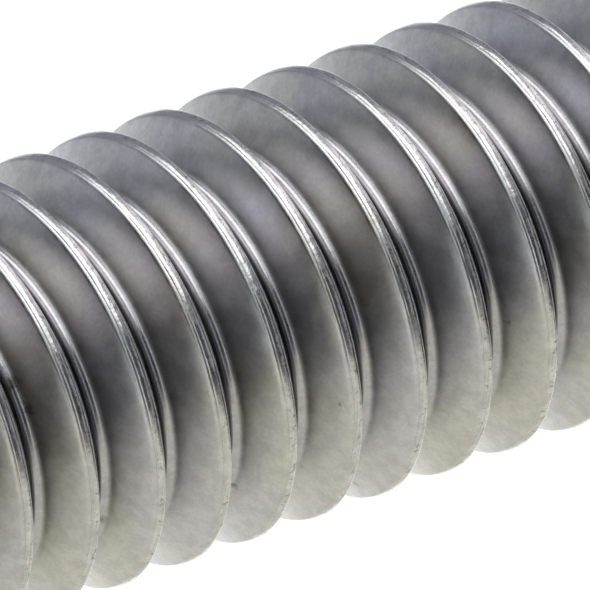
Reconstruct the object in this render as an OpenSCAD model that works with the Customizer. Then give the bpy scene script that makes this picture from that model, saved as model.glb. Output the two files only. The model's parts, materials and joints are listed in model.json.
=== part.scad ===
// Exhaust stud: a double-ended steel stud with a rolled coarse thread at each end
// and a short plain shank between them. Right-hand thread, +Z along the axis.
// It stands on the tip that screws into the cylinder head, with the nut end up.

/* [Thread] */
// Diameter over the thread crests
major_d = 7.9; // [6.4:0.05:10]
// Distance along the axis from one crest to the next
pitch = 1.411; // [1:0.001:1.75]
// Width of the flat along the top of each ridge
crest_w = 0.14; // [0.06:0.01:0.2]
// Radius of the rounded root between two ridges
root_r = 0.24; // [0.12:0.01:0.28]

/* [Lengths] */
// Threaded length that screws into the cylinder head, tip included
head_end_l = 14.3; // [8:0.1:25]
// Plain length between the two threads
shank_l = 6.35; // [5:0.05:15]
// Threaded length that takes the flange and the nut, tip included
nut_end_l = 23.8; // [10:0.1:40]

/* [Shank and tips] */
// How much smaller the shank is than the thread crests, on the diameter
shank_relief = 0.1; // [0:0.02:0.4]
// Length over which a thread runs out against the shank
runout_l = 2.1; // [1:0.1:3]
// How much smaller the flat of a tip is than the thread roots, on the diameter
tip_relief = 0.2; // [0.1:0.05:1]

/* [Fineness] */
// Straight steps in one turn of the thread
turn_steps = 32; // [24:4:40]

/* [Hidden] */
$fn = 96;

flank_angle = 30;                 // each flank leans this far from square to the axis
major_r = major_d / 2;
// The two flanks of a groove would meet this far below the crests if they ran on
sharp_depth = (pitch - crest_w) / 2 / tan(flank_angle);
// A round of root_r that touches both flanks bottoms out this far short of that point
root_lift = root_r * (1 / sin(flank_angle) - 1);
minor_r = major_r - sharp_depth + root_lift;
shank_r = (major_d - shank_relief) / 2;
tip_r = minor_r - tip_relief / 2;

shank_z = head_end_l;             // where the shank starts
nut_z = shank_z + shank_l;        // where it ends and the nut thread starts
total_l = nut_z + nut_end_l;

// The ridges sink below the shank's surface at its shoulders
ridge_sink = 0.15;
sunk_r = shank_r - ridge_sink;
// Turns by which a thread is drawn past the tip, and past the shank's shoulder
tip_overrun = 1.5;
shank_overrun = 1.3;

// One pitch of the thread's outline, as [place along the axis, radius]:
// the crest flat, then the rounded root from one flank to the next
root_sweep = 90 - flank_angle;
ridge_outline = concat(
    [for (side = [-1, 1]) [side * crest_w / 2, major_r]],
    [for (turn = [-root_sweep:root_sweep:root_sweep])
        [pitch / 2 + root_r * sin(turn), minor_r + root_r * (1 - cos(turn))]]
);
outline_n = len(ridge_outline);

// Distance from height z to the nearer shoulder of the shank, negative inside the shank
function past_shank(z) = max(shank_z - z, z - nut_z);

// The most a ridge can reach at height z: full height, then falling along the runout
function ridge_limit(z) =
    min(major_r, sunk_r + max(past_shank(z), 0) * (major_r - sunk_r) / runout_l);

// Point k of the outline at step j of the helix that starts at height z
function helix_point(z, j, k) =
    let (
        angle = 360 * j / turn_steps,
        height = z + pitch * j / turn_steps + ridge_outline[k][0],
        radius = min(ridge_outline[k][1], ridge_limit(height))
    )
    [radius * cos(angle), radius * sin(angle), height];

// A round bar with the thread on it, as one closed helical skin. The outline is carried
// up the helix, each turn is joined to the next, and a fan from the axis closes each end.
module threaded_bar(z_from, z_to) {
    turns = ceil((z_to - z_from) / pitch);
    steps = turns * turn_steps;
    last = outline_n - 1;
    foot = (steps + 1) * outline_n;
    top = foot + 1;
    mid_turn = (pitch - crest_w) / 2;

    function at(j, k) = j * outline_n + k;
    function quad(a, b, c, d) = [[a, b, c], [a, c, d]];

    points = concat(
        [for (j = [0:steps]) for (k = [0:last]) helix_point(z_from, j, k)],
        [[0, 0, z_from + mid_turn], [0, 0, z_from + turns * pitch + mid_turn]]
    );
    ridge_skin = [for (j = [0:steps - 1]) for (k = [0:last - 1])
        each quad(at(j, k), at(j, k + 1), at(j + 1, k + 1), at(j + 1, k))];
    turn_joins = [for (j = [0:steps - turn_steps - 1])
        each quad(at(j, last), at(j + turn_steps, 0),
                  at(j + turn_steps + 1, 0), at(j + 1, last))];
    foot_fan = concat(
        [for (j = [0:turn_steps - 1]) [foot, at(j, 0), at(j + 1, 0)]],
        [for (k = [0:last - 1]) [foot, at(0, k + 1), at(0, k)]],
        [[foot, at(turn_steps, 0), at(0, last)]]
    );
    top_fan = concat(
        [for (j = [steps - turn_steps:steps - 1]) [top, at(j + 1, last), at(j, last)]],
        [for (k = [0:last - 1]) [top, at(steps, k), at(steps, k + 1)]],
        [[top, at(steps - turn_steps, last), at(steps, 0)]]
    );
    polyhedron(points, concat(ridge_skin, turn_joins, foot_fan, top_fan), convexity = 10);
}

module head_thread() {
    threaded_bar(-tip_overrun * pitch, shank_z + shank_overrun * pitch);
}

module nut_thread() {
    threaded_bar(nut_z - shank_overrun * pitch, total_l + tip_overrun * pitch);
}

// The space left by facing and chamfering the tips: flat ends with 45 degree cones
module turned_tips() {
    clear = major_r - tip_r + 1;
    rotate_extrude()
        polygon([
            [0, 0],
            [tip_r, 0],
            [tip_r + clear, clear],
            [tip_r + clear, total_l - clear],
            [tip_r, total_l],
            [0, total_l]
        ]);
}

// Plain shank, with the cones that close the last grooves of both threads
module shank() {
    rotate_extrude()
        polygon([
            [0, shank_z - runout_l],
            [minor_r, shank_z - runout_l],
            [shank_r, shank_z],
            [shank_r, nut_z],
            [minor_r, nut_z + runout_l],
            [0, nut_z + runout_l]
        ]);
}

module stud() {
    color([0.71, 0.70, 0.67]) {
        intersection() {
            union() {
                head_thread();
                nut_thread();
            }
            turned_tips();
        }
        shank();
    }
}

stud();
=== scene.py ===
import json
import math
import bpy
from mathutils import Matrix, Vector


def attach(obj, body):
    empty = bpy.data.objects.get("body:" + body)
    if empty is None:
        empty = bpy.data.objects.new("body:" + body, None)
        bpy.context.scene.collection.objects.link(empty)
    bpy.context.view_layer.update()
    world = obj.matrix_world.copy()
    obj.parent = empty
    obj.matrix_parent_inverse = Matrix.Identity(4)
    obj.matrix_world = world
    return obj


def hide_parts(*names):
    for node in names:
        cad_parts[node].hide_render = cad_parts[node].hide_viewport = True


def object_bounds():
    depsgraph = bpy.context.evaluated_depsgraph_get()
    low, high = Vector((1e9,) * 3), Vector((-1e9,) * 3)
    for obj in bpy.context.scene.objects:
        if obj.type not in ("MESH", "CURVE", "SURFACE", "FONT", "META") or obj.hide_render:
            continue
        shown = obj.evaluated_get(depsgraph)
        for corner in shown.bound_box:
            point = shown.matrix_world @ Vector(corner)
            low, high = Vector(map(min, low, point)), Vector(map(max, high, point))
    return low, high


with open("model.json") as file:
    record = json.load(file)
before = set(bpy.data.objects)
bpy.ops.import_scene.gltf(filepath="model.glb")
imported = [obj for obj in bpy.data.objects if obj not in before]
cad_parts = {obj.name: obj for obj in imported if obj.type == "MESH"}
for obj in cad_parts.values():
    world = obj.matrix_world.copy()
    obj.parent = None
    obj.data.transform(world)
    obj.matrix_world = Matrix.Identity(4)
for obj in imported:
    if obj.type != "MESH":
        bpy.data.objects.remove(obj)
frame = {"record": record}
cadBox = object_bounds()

mm = 0.001
record = frame["record"]
mounts = {mount["name"]: mount for mount in record["mounts"]}
totalL = cadBox[1].z
majorR = cadBox[1].x
bpy.ops.object.select_all(action="DESELECT")


def srgb(code):
    # a hex colour, turned to the linear values that the shaders take
    parts = [int(code[i:i + 2], 16) / 255 for i in (1, 3, 5)]
    return [c / 12.92 if c < 0.04045 else ((c + 0.055) / 1.055) ** 2.4 for c in parts] + [1]


def addNode(tree, kind, settings=None, **inputs):
    # one node with its settings; a tuple (node, output) is linked, anything else is set
    node = tree.nodes.new(kind)
    for key, value in (settings or {}).items():
        setattr(node, key, value)
    for key, value in inputs.items():
        name = key.replace("_", " ")
        socket = node.inputs[int(key[1:])] if key[1:].isdigit() else node.inputs[name]
        if isinstance(value, tuple) and isinstance(value[0], bpy.types.Node):
            tree.links.new(value[0].outputs[value[1]], socket)
        else:
            socket.default_value = value
    return node


# sizes in mm, beside what the frame gives
thread = {
    "pitch": 1.411,
    "crestW": 0.20,         # across the crest, from flank line to flank line
    "depth": 0.861,         # crest to root
    "flankDeg": 30,
    "rootEdgeR": 0.186,     # the root is a full round between the flanks
    "crestSlope": 13,       # degrees that the crest leans towards the nut end
    "lowerEdgeR": 0.035,    # the crest is rolled round, more so towards the nut end
    "upperEdgeR": 0.10,
    "seamW": 0.030,         # the rolling seam, along the crest beside its rounder edge
    "seamDepth": 0.012,
    "flankCrown": 0.004,
    "rootSteps": 4,
    "lowerSteps": 3,
    "upperSteps": 4,
    "nutSteps": 152,
    "headSteps": 96,
    "tipOverrun": 1.5,      # turns drawn past the tip and cut off
    "shankOverrun": 1.3,    # turns that sink into the plain shank
}
top = majorR / mm       # the crests' radius, and the roots'
low = top - thread["depth"]
lathe = {
    "tipRelief": 0.2,       # the tip faces are this much less across than the roots
    "runoutL": 2.1,         # how long each thread takes to fade into the shank
    "ridgeSink": 0.15,      # how far the thread goes on, below the skin of the shank
    "cutOver": 0.001,       # the cutting envelope stands this far over the crests
    "cutClear": 1,          # and this far clear of them at its cones
    "steps": 128,
}
merge = {"shell": 0.0005, "axis": 0.0001}       # points closer than this (mm) become one


def threadOutline():
    # one pitch of the thread as (height, radius) in mm, from root to root round one ridge
    half = thread["pitch"] / 2
    lean = math.radians(thread["flankDeg"])
    crest = thread["crestW"] / 2
    sweep = math.pi / 2 - lean
    # the root is rounded from flank to flank
    edge = thread["rootEdgeR"]
    bend = -crest - thread["depth"] * math.tan(lean) - edge * math.tan(sweep / 2)
    turn = [sweep * i / thread["rootSteps"] for i in range(thread["rootSteps"] + 1)]
    rising = [(-half, low)] + [(bend + edge * math.sin(t), low + edge * (1 - math.cos(t)))
                               for t in turn]
    falling = [(-z, r) for z, r in reversed(rising)]
    # the crest leans, from a small round on the head side to a larger one on the nut side
    slope = math.radians(thread["crestSlope"])
    edge = thread["lowerEdgeR"]
    bend = -crest + edge * math.tan(sweep / 2)
    turn = [-sweep + (sweep + slope) * i / thread["lowerSteps"]
            for i in range(thread["lowerSteps"] + 1)]
    lowerEdge = [(bend + edge * math.sin(t), top - edge * (1 - math.cos(t))) for t in turn]
    z, r = lowerEdge[-1]
    edge = thread["upperEdgeR"]
    bend = crest - edge * math.tan(sweep / 2)
    drop = (bend + edge * math.sin(slope) - z) * math.tan(slope)
    turn = [slope + (sweep - slope) * i / thread["upperSteps"]
            for i in range(thread["upperSteps"] + 1)]
    upperEdge = [(bend + edge * math.sin(t), r - drop - edge * (math.cos(slope) - math.cos(t)))
                 for t in turn]
    z, r = upperEdge[0]
    seam = [(z - thread["seamW"], r + thread["seamW"] * math.tan(slope)),
            (z - thread["seamW"] / 2, r - thread["seamDepth"])]
    # the flanks are crowned a little, as the rolling dies leave them
    crowned = []
    for start, end in ((rising[-1], lowerEdge[0]), (upperEdge[-1], falling[0])):
        for s in (0.04, 0.5, 0.96):
            bulge = thread["flankCrown"] * 4 * s * (1 - s)
            side = math.copysign(bulge * math.cos(lean), start[0] + end[0])
            crowned.append((start[0] + (end[0] - start[0]) * s + side,
                            start[1] + (end[1] - start[1]) * s + bulge * math.sin(lean)))
    return rising + crowned[:3] + lowerEdge + seam + upperEdge + crowned[3:] + falling


def drawOutline(name, points):
    # a single vertex carried along the points by extrusion, in the XZ plane
    z, r = points[0]
    bpy.ops.mesh.primitive_plane_add(size=mm, location=(r * mm, 0, z * mm))
    piece = bpy.context.object
    piece.name = name
    bpy.ops.object.transform_apply(location=True, rotation=False, scale=False)
    bpy.ops.object.mode_set(mode="EDIT")
    bpy.ops.mesh.select_all(action="SELECT")
    bpy.ops.mesh.merge(type="CENTER")
    for nextZ, nextR in points[1:]:
        step = ((nextR - r) * mm, 0, (nextZ - z) * mm)
        bpy.ops.mesh.extrude_region_move(TRANSFORM_OT_translate={"value": step})
        z, r = nextZ, nextR
    bpy.ops.object.mode_set(mode="OBJECT")
    return piece


def applyModifier(piece, kind, **settings):
    modifier = piece.modifiers.new(kind.title(), kind)
    for key, value in settings.items():
        setattr(modifier, key, value)
    bpy.context.view_layer.objects.active = piece
    bpy.ops.object.modifier_apply(modifier=modifier.name)


def cleanShell():
    bpy.ops.object.mode_set(mode="EDIT")
    bpy.ops.mesh.select_all(action="SELECT")
    bpy.ops.mesh.remove_doubles(threshold=merge["shell"] * mm)
    bpy.ops.mesh.normals_make_consistent(inside=False)
    bpy.ops.mesh.select_all(action="DESELECT")
    bpy.ops.object.mode_set(mode="OBJECT")


def turned(name, points):
    # a lathe-turned solid: the outline starts and ends on the axis
    piece = drawOutline(name, points)
    applyModifier(piece, "SCREW", axis="Z", angle=math.tau, screw_offset=0, iterations=1,
                  steps=lathe["steps"], render_steps=lathe["steps"], use_merge_vertices=True,
                  merge_threshold=merge["axis"] * mm)
    cleanShell()
    return piece


def threadedBar(name, zFrom, zTo, steps):
    # the outline carried up the helix, its turns merged, and each end closed to a point
    pitch = thread["pitch"]
    outline = threadOutline()
    turns = math.ceil((zTo - zFrom) / pitch)
    piece = drawOutline(name, [(zFrom + z, r) for z, r in outline])
    applyModifier(piece, "SCREW", axis="Z", angle=math.tau, screw_offset=pitch * mm,
                  iterations=turns, steps=steps, render_steps=steps, use_merge_vertices=False)
    cleanShell()
    middle = (zFrom + turns * pitch / 2) * mm
    for upper in (False, True):
        bpy.ops.object.mode_set(mode="EDIT")
        bpy.ops.mesh.select_mode(type="VERT")
        bpy.ops.mesh.select_all(action="DESELECT")
        bpy.ops.mesh.select_non_manifold(extend=False, use_wire=False, use_boundary=True,
                                         use_multi_face=False, use_non_contiguous=False,
                                         use_verts=False)
        bpy.ops.object.mode_set(mode="OBJECT")
        for vertex in piece.data.vertices:
            if vertex.select and (vertex.co.z > middle) != upper:
                vertex.select = False
        for edge in piece.data.edges:
            edge.select = edge.select and all(piece.data.vertices[v].select for v in edge.vertices)
        bpy.ops.object.mode_set(mode="EDIT")
        bpy.ops.mesh.extrude_region_move(TRANSFORM_OT_translate={"value": (0, 0, 0)})
        bpy.ops.mesh.merge(type="CENTER")
        bpy.ops.object.mode_set(mode="OBJECT")
    cleanShell()
    return piece


def combine(piece, tool, operation):
    applyModifier(piece, "BOOLEAN", object=tool, operation=operation, solver="MANIFOLD")


wear = {
    "raggedDeep": 0.012,    # mm, how far the rolled edges wander inwards
    "raggedLong": 0.45,     # mm, how long each wave of that is
    "crestBand": 0.03,      # mm below the crest that it reaches
    "nickReach": 0.24,      # mm round each nick that is dragged in with it
    "sharpDeg": 35,         # an edge that turns by more than this is drawn sharp
}
# nicks knocked into the crests: degrees round from the front towards +X, mm up, mm deep
nicks = [(29, 34.7, 0.030), (17, 34.5, 0.025), (-6, 35.9, 0.020), (-47, 39.4, 0.045),
         (8, 31.6, 0.020), (-62, 37.0, 0.025), (118, 30.2, 0.040), (171, 36.4, 0.035),
         (-140, 25.1, 0.040), (64, 9.3, 0.035), (-108, 5.6, 0.030)]


def nickCrests(piece):
    bpy.ops.object.select_all(action="DESELECT")
    piece.select_set(True)
    bpy.context.view_layer.objects.active = piece
    for turn, height, deep in nicks:
        turn = math.radians(turn)
        out = Vector((math.sin(turn), -math.cos(turn), 0))
        struck = out * majorR + Vector((0, 0, height * mm))
        nearest = min(piece.data.vertices, key=lambda v: (v.co - struck).length).index
        bpy.ops.object.mode_set(mode="EDIT")
        bpy.ops.mesh.select_all(action="DESELECT")
        bpy.ops.object.mode_set(mode="OBJECT")
        piece.data.vertices[nearest].select = True
        bpy.ops.object.mode_set(mode="EDIT")
        bpy.ops.transform.translate(value=out * -deep * mm, use_proportional_edit=True,
                                    proportional_edit_falloff="SHARP",
                                    proportional_size=wear["nickReach"] * mm)
        bpy.ops.object.mode_set(mode="OBJECT")
    bpy.ops.object.select_all(action="DESELECT")


def wearCrests(piece):
    # the crest edges are left slightly ragged by the dies, never prouder than the crest itself
    crests = piece.vertex_groups.new(name="crests")
    edgeR = majorR - wear["crestBand"] * mm
    chosen = [v.index for v in piece.data.vertices if v.co.xy.length > edgeR]
    crests.add(chosen, 1.0, "REPLACE")
    ragged = bpy.data.textures.new("raggedCrest", "CLOUDS")
    ragged.noise_scale = wear["raggedLong"] * mm
    ragged.noise_depth = 2
    applyModifier(piece, "DISPLACE", texture=ragged, texture_coords="LOCAL", direction="NORMAL",
                  vertex_group="crests", mid_level=1.0, strength=wear["raggedDeep"] * mm)
    piece.vertex_groups.clear()
    bpy.data.textures.remove(ragged)


def makeStud():
    pitch = thread["pitch"]
    length = totalL / mm
    pin = mounts["shank"]
    shankR = pin["dims"]["r_mm"]
    shankZ = pin["pos_m"][2] / mm - pin["dims"]["length_mm"] / 2
    nutZ = shankZ + pin["dims"]["length_mm"]
    tipR = low - lathe["tipRelief"] / 2
    sunkR = shankR - lathe["ridgeSink"]
    runout = lathe["runoutL"]
    clear = top - tipR + lathe["cutClear"]
    over = top + lathe["cutOver"]
    envelope = turned("tipsAndRunouts", [
        (0, 0), (0, tipR), (clear, tipR + clear),
        (shankZ - runout - lathe["cutClear"], tipR + clear), (shankZ - runout, over),
        (shankZ, sunkR), (nutZ, sunkR), (nutZ + runout, over),
        (nutZ + runout + lathe["cutClear"], tipR + clear),
        (length - clear, tipR + clear), (length, tipR), (length, 0)])
    shank = turned("shankBar", [
        (shankZ - runout, 0), (shankZ - runout, low), (shankZ, shankR), (nutZ, shankR),
        (nutZ + runout, low), (nutZ + runout, 0)])
    head = threadedBar("headThread", -thread["tipOverrun"] * pitch,
                       shankZ + thread["shankOverrun"] * pitch, thread["headSteps"])
    stud = threadedBar("rolledStud", nutZ - thread["shankOverrun"] * pitch,
                       length + thread["tipOverrun"] * pitch, thread["nutSteps"])
    print("bars", len(head.data.polygons), len(stud.data.polygons))
    combine(head, envelope, "INTERSECT")
    combine(stud, envelope, "INTERSECT")
    combine(stud, shank, "UNION")
    combine(stud, head, "UNION")
    for spare in (envelope, shank, head):
        bpy.data.objects.remove(spare)
    wearCrests(stud)
    nickCrests(stud)
    bpy.ops.object.select_all(action="DESELECT")
    stud.select_set(True)
    bpy.context.view_layer.objects.active = stud
    bpy.ops.object.shade_smooth_by_angle(angle=math.radians(wear["sharpDeg"]))
    bpy.ops.object.select_all(action="DESELECT")
    triangles = sum(len(face.vertices) - 2 for face in stud.data.polygons)
    print("stud done:", triangles, "triangles")
    return stud


stud = makeStud()


steel = {
    "flank": "#dadbdf",         # satin grey of a thread rolled and degreased
    "flankWarm": "#dcdbd6",
    "crest": "#ececeb",         # burnished by the dies
    # painted shade: the root's grey is darker than the flanks'
    "root": "#c9c9cc",
    "grime": "#57534a",
    "end": "#b2b2b0",           # sheared and faced, without the rolled skin
    "flankRough": 0.33,
    "endRough": 0.52,
    "crestRough": 0.18,
    "rootRough": 0.23,
    "crestBand": 0.05,          # mm below the crest where the burnish starts
    "rootBand": 0.12,           # mm above the root that the dies' noses press smooth, and that is painted a darker grey as shade
    "stainNear": 0.05,          # mm above the root where the painted shade starts to thin out
    "stainFar": 0.45,           # and where it ends
    "stainSlant": (-0.32, 0.05),    # how far the root leans to the head end for full painted shade, for none
    "endSlant": (0.93, 0.97),   # how nearly square a face is to count as an end
    "toneMm": 2.6,              # patches of warmer and cooler grey
    "mottleMm": 0.30,           # rolled-in scale
    "grainMm": 0.07,            # satin grain, drawn coarser than the real 0.02 so that it shows
    "streakMm": 0.045,          # drag lines round the thread, across their width
    "streakLongMm": 2.2,
    "burrMm": 0.10,             # torn specks along the crest edges
    "pitGapMm": 1.0,
    "pitMm": 0.035,
    "bumpMm": 0.006,
    "bumpStrength": 0.5,
    "rootStain": "#242326",     # painted shade: a near-black band on the head side of the root
    "crestStain": "#8f8f93",
}
# stains in the grooves: where each lies (mm), how far it reaches (mm) and how dark it is
stains = [((-1.72, -2.77, 30.09), 0.075, 0.75), ((-3.58, 0.16, 32.48), 0.09, 0.55),
          ((-3.89, 0.00, 32.29), 0.05, 0.85), ((-2.87, -1.29, 35.69), 0.12, 0.6),
          ((-2.12, -3.03, 34.05), 0.05, 0.6), ((0.10, -3.10, 40.25), 0.22, 0.75),
          ((-0.40, -3.12, 40.12), 0.16, 0.6), ((-2.69, -1.54, 38.62), 0.16, 0.5)]


# settings that many nodes share
smooth = {"interpolation_type": "SMOOTHSTEP"}
colours = {"data_type": "RGBA"}
numbers = {"data_type": "FLOAT"}
times = {"operation": "MULTIPLY"}
timesPlus = {"operation": "MULTIPLY_ADD"}
plus = {"operation": "ADD"}
minus = {"operation": "SUBTRACT"}
dividedBy = {"operation": "DIVIDE"}
scaled = {"operation": "SCALE"}
longest = {"operation": "LENGTH"}
larger = {"operation": "MAXIMUM"}


def rolledSteel():
    # low-carbon steel, cold thread-rolled and left bare: satin flanks with a fine grain, bright
    # burnished crests with drag lines round them, roots painted darker as shade at the bottom and on
    # the head side, matt ends, and a few dark pits and specks
    material = bpy.data.materials.new("rolledSteel")
    material.use_nodes = True
    tree = material.node_tree
    shader = tree.nodes["Principled BSDF"]
    place = addNode(tree, "ShaderNodeTexCoord")
    inMm = addNode(tree, "ShaderNodeVectorMath", scaled, _0=(place, "Object"), Scale=1 / mm)
    flat = addNode(tree, "ShaderNodeVectorMath", times, _0=(inMm, 0), _1=(1, 1, 0))
    radius = addNode(tree, "ShaderNodeVectorMath", longest, _0=(flat, 0))

    tone = addNode(tree, "ShaderNodeTexNoise", Vector=(inMm, 0), Scale=1 / steel["toneMm"],
                   Detail=2, Roughness=0.5)
    mottle = addNode(tree, "ShaderNodeTexNoise", Vector=(inMm, 0), Scale=1 / steel["mottleMm"],
                     Detail=3, Roughness=0.6)
    grain = addNode(tree, "ShaderNodeTexNoise", Vector=(inMm, 0), Scale=1 / steel["grainMm"],
                    Detail=2, Roughness=0.6)
    burr = addNode(tree, "ShaderNodeTexNoise", Vector=(inMm, 0), Scale=1 / steel["burrMm"],
                   Detail=2, Roughness=0.6)
    # drag lines: fine up the radius and along the height, long round the thread
    squeeze = steel["streakMm"] / steel["streakLongMm"]
    around = addNode(tree, "ShaderNodeVectorMath", times, _0=(inMm, 0), _1=(squeeze, squeeze, 1))
    outwards = addNode(tree, "ShaderNodeCombineXYZ", X=(radius, "Value"))
    lined = addNode(tree, "ShaderNodeVectorMath", plus, _0=(around, 0), _1=(outwards, 0))
    streak = addNode(tree, "ShaderNodeTexNoise", Vector=(lined, 0), Scale=1 / steel["streakMm"],
                     Detail=2, Roughness=0.7)

    # how far out: crest and root masks, the crest's border broken by the mottle
    wave = addNode(tree, "ShaderNodeMath", timesPlus, _0=(mottle, 0), _1=0.05, _2=-0.025)
    brokenR = addNode(tree, "ShaderNodeMath", plus, _0=(radius, "Value"), _1=(wave, 0))
    crest = addNode(tree, "ShaderNodeMapRange", smooth, Value=(brokenR, 0),
                    From_Min=top - steel["crestBand"], From_Max=top - 0.012, To_Min=0.0, To_Max=1.0)
    root = addNode(tree, "ShaderNodeMapRange", smooth, Value=(radius, "Value"), From_Min=low,
                   From_Max=low + steel["rootBand"], To_Min=1.0, To_Max=0.0)

    patch = addNode(tree, "ShaderNodeMapRange", smooth, Value=(tone, 0), From_Min=0.38,
                    From_Max=0.62, To_Min=0.0, To_Max=1.0)
    colour = addNode(tree, "ShaderNodeMix", colours, _0=(patch, 0), _6=srgb(steel["flank"]),
                     _7=srgb(steel["flankWarm"]))
    # painted shade: a darker grey towards the root
    colour = addNode(tree, "ShaderNodeMix", colours, _0=(root, 0), _6=(colour, 2),
                     _7=srgb(steel["root"]))
    colour = addNode(tree, "ShaderNodeMix", colours, _0=(crest, 0), _6=(colour, 2),
                     _7=srgb(steel["crest"]))
    # mottle, grain and drag lines darken it by a few percent
    scale = addNode(tree, "ShaderNodeMapRange", smooth, Value=(mottle, 0), From_Min=0.35,
                    From_Max=0.65, To_Min=0.92, To_Max=1.06)
    satin = addNode(tree, "ShaderNodeMapRange", smooth, Value=(grain, 0), From_Min=0.3,
                    From_Max=0.7, To_Min=0.95, To_Max=1.05)
    shade = addNode(tree, "ShaderNodeMath", times, _0=(scale, 0), _1=(satin, 0))
    drag = addNode(tree, "ShaderNodeMapRange", smooth, Value=(streak, 0), From_Min=0.3,
                   From_Max=0.62, To_Min=0.22, To_Max=0.0)
    drag = addNode(tree, "ShaderNodeMath", times, _0=(crest, 0), _1=(drag, 0))
    shade = addNode(tree, "ShaderNodeMath", minus, _0=(shade, 0), _1=(drag, 0))
    colour = addNode(tree, "ShaderNodeVectorMath", scaled, _0=(colour, 2), Scale=(shade, 0))
    # painted shade on the side of the root that faces the head end, darkest near the root and broken
    # up by the drag lines
    facing = addNode(tree, "ShaderNodeNewGeometry")
    slant = addNode(tree, "ShaderNodeSeparateXYZ", _0=(facing, "Normal"))
    full, none = steel["stainSlant"]
    headSide = addNode(tree, "ShaderNodeMapRange", smooth, Value=(slant, "Z"), From_Min=full,
                       From_Max=none, To_Min=1.0, To_Max=0.0)
    deep = addNode(tree, "ShaderNodeMapRange", smooth, Value=(radius, "Value"),
                   From_Min=low + steel["stainNear"], From_Max=low + steel["stainFar"],
                   To_Min=1.0, To_Max=0.0)
    uneven = addNode(tree, "ShaderNodeMapRange", smooth, Value=(streak, 0), From_Min=0.25,
                     From_Max=0.6, To_Min=0.75, To_Max=1.0)
    rootShadeMask = addNode(tree, "ShaderNodeMath", times, _0=(headSide, 0), _1=(deep, 0))
    rootShadeMask = addNode(tree, "ShaderNodeMath", times, _0=(rootShadeMask, 0), _1=(uneven, 0))
    colour = addNode(tree, "ShaderNodeMix", colours, _0=(rootShadeMask, 0), _6=(colour, 0),
                     _7=srgb(steel["rootStain"]))
    # torn specks along the crests
    torn = addNode(tree, "ShaderNodeMapRange", smooth, Value=(burr, 0), From_Min=0.56,
                   From_Max=0.70, To_Min=0.0, To_Max=0.7)
    torn = addNode(tree, "ShaderNodeMath", times, _0=(torn, 0), _1=(crest, 0))
    colour = addNode(tree, "ShaderNodeMix", colours, _0=(torn, 0), _6=(colour, 2),
                     _7=srgb(steel["crestStain"]))
    for middle, reach, dark in stains:
        gap = addNode(tree, "ShaderNodeVectorMath", {"operation": "DISTANCE"}, _0=(inMm, 0),
                      _1=middle)
        ragged = addNode(tree, "ShaderNodeMath", timesPlus, _0=(burr, 0), _1=reach * 1.6,
                         _2=(gap, "Value"))
        spot = addNode(tree, "ShaderNodeMapRange", smooth, Value=(ragged, 0),
                       From_Min=reach * 0.9, From_Max=reach * 1.9, To_Min=dark, To_Max=0.0)
        colour = addNode(tree, "ShaderNodeMix", colours, _0=(spot, 0), _6=(colour, 2),
                         _7=srgb(steel["grime"]))
    # pits: about one in four of the cells of a wide net holds a small dark one
    cells = addNode(tree, "ShaderNodeTexVoronoi", {"feature": "F1"}, Vector=(inMm, 0),
                    Scale=1 / steel["pitGapMm"])
    pick = addNode(tree, "ShaderNodeSeparateColor", _0=(cells, "Color"))
    picked = addNode(tree, "ShaderNodeMath", {"operation": "GREATER_THAN"}, _0=(pick, 0), _1=0.72)
    nearPit = addNode(tree, "ShaderNodeMapRange", smooth, Value=(cells, "Distance"),
                      From_Min=steel["pitMm"] * 0.6, From_Max=steel["pitMm"] * 1.4,
                      To_Min=1.0, To_Max=0.0)
    pit = addNode(tree, "ShaderNodeMath", times, _0=(picked, 0), _1=(nearPit, 0))
    colour = addNode(tree, "ShaderNodeMix", colours, _0=(pit, 0), _6=(colour, 2),
                     _7=srgb(steel["grime"]))
    # the two end faces, cut off square and left matt
    level = addNode(tree, "ShaderNodeMath", {"operation": "ABSOLUTE"}, _0=(slant, "Z"))
    none, full = steel["endSlant"]
    end = addNode(tree, "ShaderNodeMapRange", smooth, Value=(level, 0), From_Min=none,
                  From_Max=full, To_Min=0.0, To_Max=1.0)
    colour = addNode(tree, "ShaderNodeMix", colours, _0=(end, 0), _6=(colour, 2),
                     _7=srgb(steel["end"]))
    tree.links.new(colour.outputs[2], shader.inputs["Base Color"])

    rough = addNode(tree, "ShaderNodeMix", numbers, _0=(root, 0), _2=steel["flankRough"],
                    _3=steel["rootRough"])
    rough = addNode(tree, "ShaderNodeMix", numbers, _0=(crest, 0), _2=(rough, 0),
                    _3=steel["crestRough"])
    rough = addNode(tree, "ShaderNodeMix", numbers, _0=(end, 0), _2=(rough, 0),
                    _3=steel["endRough"])
    vary = addNode(tree, "ShaderNodeMath", timesPlus, _0=(mottle, 0), _1=0.16, _2=-0.08)
    rough = addNode(tree, "ShaderNodeMath", plus, _0=(rough, 0), _1=(vary, 0))
    tree.links.new(rough.outputs[0], shader.inputs["Roughness"])
    shader.inputs["Metallic"].default_value = 1

    fine = addNode(tree, "ShaderNodeMath", times, _0=(grain, 0), _1=0.35)
    height = addNode(tree, "ShaderNodeMath", plus, _0=(mottle, 0), _1=(fine, 0))
    lines = addNode(tree, "ShaderNodeMath", plus, _0=(streak, 0), _1=(burr, 0))
    lines = addNode(tree, "ShaderNodeMath", times, _0=(lines, 0), _1=(crest, 0))
    height = addNode(tree, "ShaderNodeMath", timesPlus, _0=(lines, 0), _1=1.2, _2=(height, 0))
    height = addNode(tree, "ShaderNodeMath", minus, _0=(height, 0), _1=(pit, 0))
    bump = addNode(tree, "ShaderNodeBump", Height=(height, 0), Distance=steel["bumpMm"] * mm,
                   Strength=steel["bumpStrength"])
    tree.links.new(bump.outputs[0], shader.inputs["Normal"])
    return material


stud.data.materials.clear()
stud.data.materials.append(rolledSteel())
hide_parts("stud")
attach(stud, "root")

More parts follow.
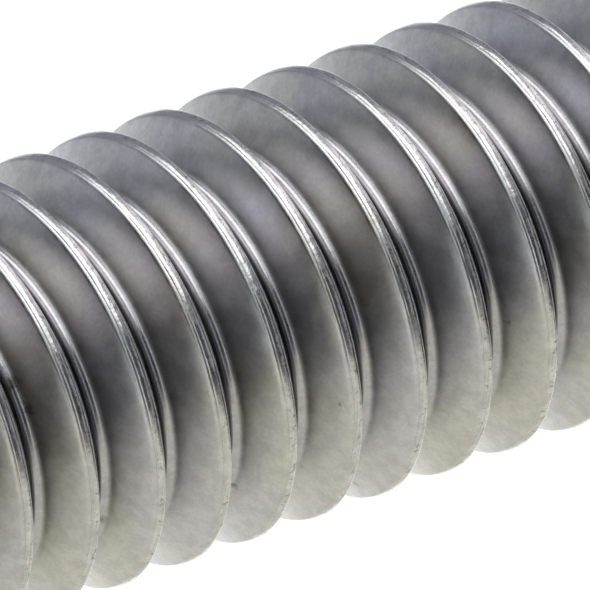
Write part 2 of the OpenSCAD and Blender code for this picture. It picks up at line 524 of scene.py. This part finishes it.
view = {
    "lookDown": 29.23,      # degrees below level
    "roll": -108.89,        # the axis lies across the picture, its nut end low on the left
    "aimHeight": 32.522,    # mm up the axis
    "aimAcross": (0.83, 1.45),      # picture points right of that place and below it
    "pxPerRadius": 219.7,   # picture points that the crests' radius takes
    "framePx": 590,
    "perspective": 0.010,   # the crests' radius over the camera's distance
    "sensorWidth": 36,
    "clip": (0.1, 20),      # nearest and farthest drawn, in camera distances
}


def addCamera():
    distance = majorR / view["perspective"]
    frameWidth = view["framePx"] / view["pxPerRadius"] * majorR
    data = bpy.data.cameras.new("camera")
    data.sensor_width = view["sensorWidth"]
    data.lens = data.sensor_width * distance / frameWidth
    data.clip_start = distance * view["clip"][0]
    data.clip_end = distance * view["clip"][1]
    camera = bpy.data.objects.new("camera", data)
    bpy.context.scene.collection.objects.link(camera)
    turn = Matrix.Rotation(math.radians(90 - view["lookDown"]), 4, "X")
    roll = Matrix.Rotation(math.radians(view["roll"]), 4, "Z")
    pose = turn @ roll
    right, up, back = (pose.to_3x3().col[i] for i in range(3))
    px = majorR / view["pxPerRadius"]
    aim = Vector((0, 0, view["aimHeight"] * mm))
    aim += right * view["aimAcross"][0] * px - up * view["aimAcross"][1] * px
    camera.matrix_world = Matrix.Translation(aim + back * distance) @ pose
    bpy.context.scene.camera = camera
    print("camera", round(distance, 3), "m away, lens", round(data.lens))


room = {"across": 6, "floor": "#f2f2f0", "floorRough": 0.9, "floorGlow": 0.3, "world": "#ffffff"}


def addFloor():
    # plain white paper; the glow that the camera and the metal see takes it up to white, and the
    # stud's shadow still falls on it
    bpy.ops.mesh.primitive_plane_add(size=room["across"])
    floor = bpy.context.object
    floor.name = "floor"
    material = bpy.data.materials.new("whitePaper")
    material.use_nodes = True
    tree = material.node_tree
    shader = tree.nodes["Principled BSDF"]
    shader.inputs["Base Color"].default_value = srgb(room["floor"])
    shader.inputs["Roughness"].default_value = room["floorRough"]
    shader.inputs["Emission Color"].default_value = srgb(room["world"])
    path = addNode(tree, "ShaderNodeLightPath")
    seen = addNode(tree, "ShaderNodeMath", larger, _0=(path, "Is Camera Ray"),
                   _1=(path, "Is Glossy Ray"))
    seen = addNode(tree, "ShaderNodeMath", larger, _0=(seen, 0), _1=(path, "Is Transmission Ray"))
    seen = addNode(tree, "ShaderNodeMath", times, _0=(seen, 0), _1=room["floorGlow"])
    tree.links.new(seen.outputs[0], shader.inputs["Emission Strength"])
    floor.data.materials.append(material)
    bpy.ops.object.select_all(action="DESELECT")


def addWorld():
    # plain white all round, behind the stud as well as over the floor
    world = bpy.data.worlds.new("studio")
    bpy.context.scene.world = world
    world.use_nodes = True
    light = world.node_tree.nodes["Background"]
    light.inputs["Color"].default_value = srgb(room["world"])
    light.inputs["Strength"].default_value = 1.0


# the light tent that the steel sees: white cloth, a shade warmer on the left than on the right,
# with soft-edged panels as a studio hangs round bright metal. Each panel has its middle and half
# sizes in degrees round the stud (from the front towards +X, and upwards), how much of it is at
# full strength, and its colour; a later one covers an earlier one
tent = {
    "radius": 0.2,          # metres, as is the gap over the floor
    "overFloor": 0.0015,
    "left": "#ebeee6",
    "right": "#f5f8ff",
    "strength": 1.40,
    "segments": 96,
    "rings": 48,
}
panels = {
    "frontBlack": {"azimuth": -19, "elevation": -17, "halfWide": 97, "halfHigh": 57,
                   "core": 0.80, "colour": "#2b2a2e", "strength": 1.00},
    "rightGrey": {"azimuth": 97, "elevation": 8, "halfWide": 71, "halfHigh": 69,
                  "core": 0.58, "colour": "#85868f", "strength": 1.00},
    "frontStrip": {"azimuth": -12, "elevation": -4, "halfWide": 60, "halfHigh": 9,
                   "core": 0.30, "colour": "#a6a6ad", "strength": 1.00},
    "leftGrey": {"azimuth": -101, "elevation": 20, "halfWide": 70, "halfHigh": 71,
                 "core": 0.73, "colour": "#d2cfc5", "strength": 1.00},
    "whiteStrip": {"azimuth": 54, "elevation": 15, "halfWide": 50, "halfHigh": 15,
                   "core": 0.76, "colour": "#ffffff", "strength": 1.85},
    "upperBlack": {"azimuth": 35, "elevation": 64, "halfWide": 103, "halfHigh": 32,
                   "core": 0.60, "colour": "#000000", "strength": 1.00},
    "lowWhite": {"azimuth": 48, "elevation": -17, "halfWide": 44, "halfHigh": 23,
                 "core": 0.18, "colour": "#fff7fc", "strength": 1.06},
}


def tentCloth(centre):
    # nylon diffusion cloth, lit from outside: even white, with no weave to be seen at this size
    material = bpy.data.materials.new("tentCloth")
    material.use_nodes = True
    material.cycles.emission_sampling = "NONE"
    tree = material.node_tree
    tree.nodes.remove(tree.nodes["Principled BSDF"])
    place = addNode(tree, "ShaderNodeTexCoord")
    away = addNode(tree, "ShaderNodeVectorMath", minus, _0=(place, "Object"), _1=centre)
    away = addNode(tree, "ShaderNodeVectorMath", {"operation": "NORMALIZE"}, _0=(away, 0))
    part = addNode(tree, "ShaderNodeSeparateXYZ", _0=(away, 0))
    front = addNode(tree, "ShaderNodeMath", times, _0=(part, "Y"), _1=-1.0)
    turn = addNode(tree, "ShaderNodeMath", {"operation": "ARCTAN2"}, _0=(part, "X"), _1=(front, 0))
    rise = addNode(tree, "ShaderNodeMath", {"operation": "ARCSINE"}, _0=(part, "Z"))
    azimuth = addNode(tree, "ShaderNodeMath", {"operation": "DEGREES"}, _0=(turn, 0))
    elevation = addNode(tree, "ShaderNodeMath", {"operation": "DEGREES"}, _0=(rise, 0))
    side = addNode(tree, "ShaderNodeMapRange", Value=(part, "X"), From_Min=-1.0, From_Max=1.0)
    tone = addNode(tree, "ShaderNodeMix", colours, _0=(side, 0), _6=srgb(tent["left"]),
                   _7=srgb(tent["right"]))
    lit = addNode(tree, "ShaderNodeVectorMath", scaled, _0=(tone, 2), Scale=tent["strength"])
    litFrom = 0     # the socket that the colour so far comes out of
    for panel in panels.values():
        offWide = addNode(tree, "ShaderNodeMath", minus, _0=(azimuth, 0), _1=panel["azimuth"])
        offWide = addNode(tree, "ShaderNodeMath", {"operation": "WRAP"}, _0=(offWide, 0),
                          _1=180, _2=-180)
        offWide = addNode(tree, "ShaderNodeMath", dividedBy, _0=(offWide, 0), _1=panel["halfWide"])
        offHigh = addNode(tree, "ShaderNodeMath", minus, _0=(elevation, 0), _1=panel["elevation"])
        offHigh = addNode(tree, "ShaderNodeMath", dividedBy, _0=(offHigh, 0), _1=panel["halfHigh"])
        off = addNode(tree, "ShaderNodeCombineXYZ", _0=(offWide, 0), _1=(offHigh, 0))
        reach = addNode(tree, "ShaderNodeVectorMath", longest, _0=(off, 0))
        cover = addNode(tree, "ShaderNodeMapRange", smooth, Value=(reach, "Value"),
                        From_Min=panel["core"], From_Max=1.0, To_Min=1.0, To_Max=0.0)
        hung = [c * panel["strength"] for c in srgb(panel["colour"])[:3]] + [1]
        lit = addNode(tree, "ShaderNodeMix", colours, _0=(cover, 0), _6=(lit, litFrom), _7=hung)
        litFrom = 2
    glow = addNode(tree, "ShaderNodeEmission", Color=(lit, litFrom), Strength=1.0)
    tree.links.new(glow.outputs[0], tree.nodes["Material Output"].inputs["Surface"])
    return material


def addTent():
    # a ball round the stud, its lower half pressed flat just over the floor
    centre = Vector((0, 0, view["aimHeight"] * mm))
    bpy.ops.mesh.primitive_uv_sphere_add(segments=tent["segments"], ring_count=tent["rings"],
                                         radius=tent["radius"])
    cloth = bpy.context.object
    cloth.name = "lightTent"
    for vertex in cloth.data.vertices:
        away = vertex.co.normalized()
        reach = tent["radius"]
        if away.z < 0:
            reach = min(reach, (centre.z - tent["overFloor"]) / -away.z)
        vertex.co = centre + away * reach
    cloth.data.materials.append(tentCloth(centre))
    cloth.visible_camera = False
    cloth.visible_diffuse = False
    cloth.visible_shadow = False
    bpy.ops.object.select_all(action="DESELECT")


addCamera()
addTent()
addFloor()
addWorld()
print("studio done")
bpy.context.scene.view_settings.view_transform = "Standard"
bpy.context.view_layer.update()
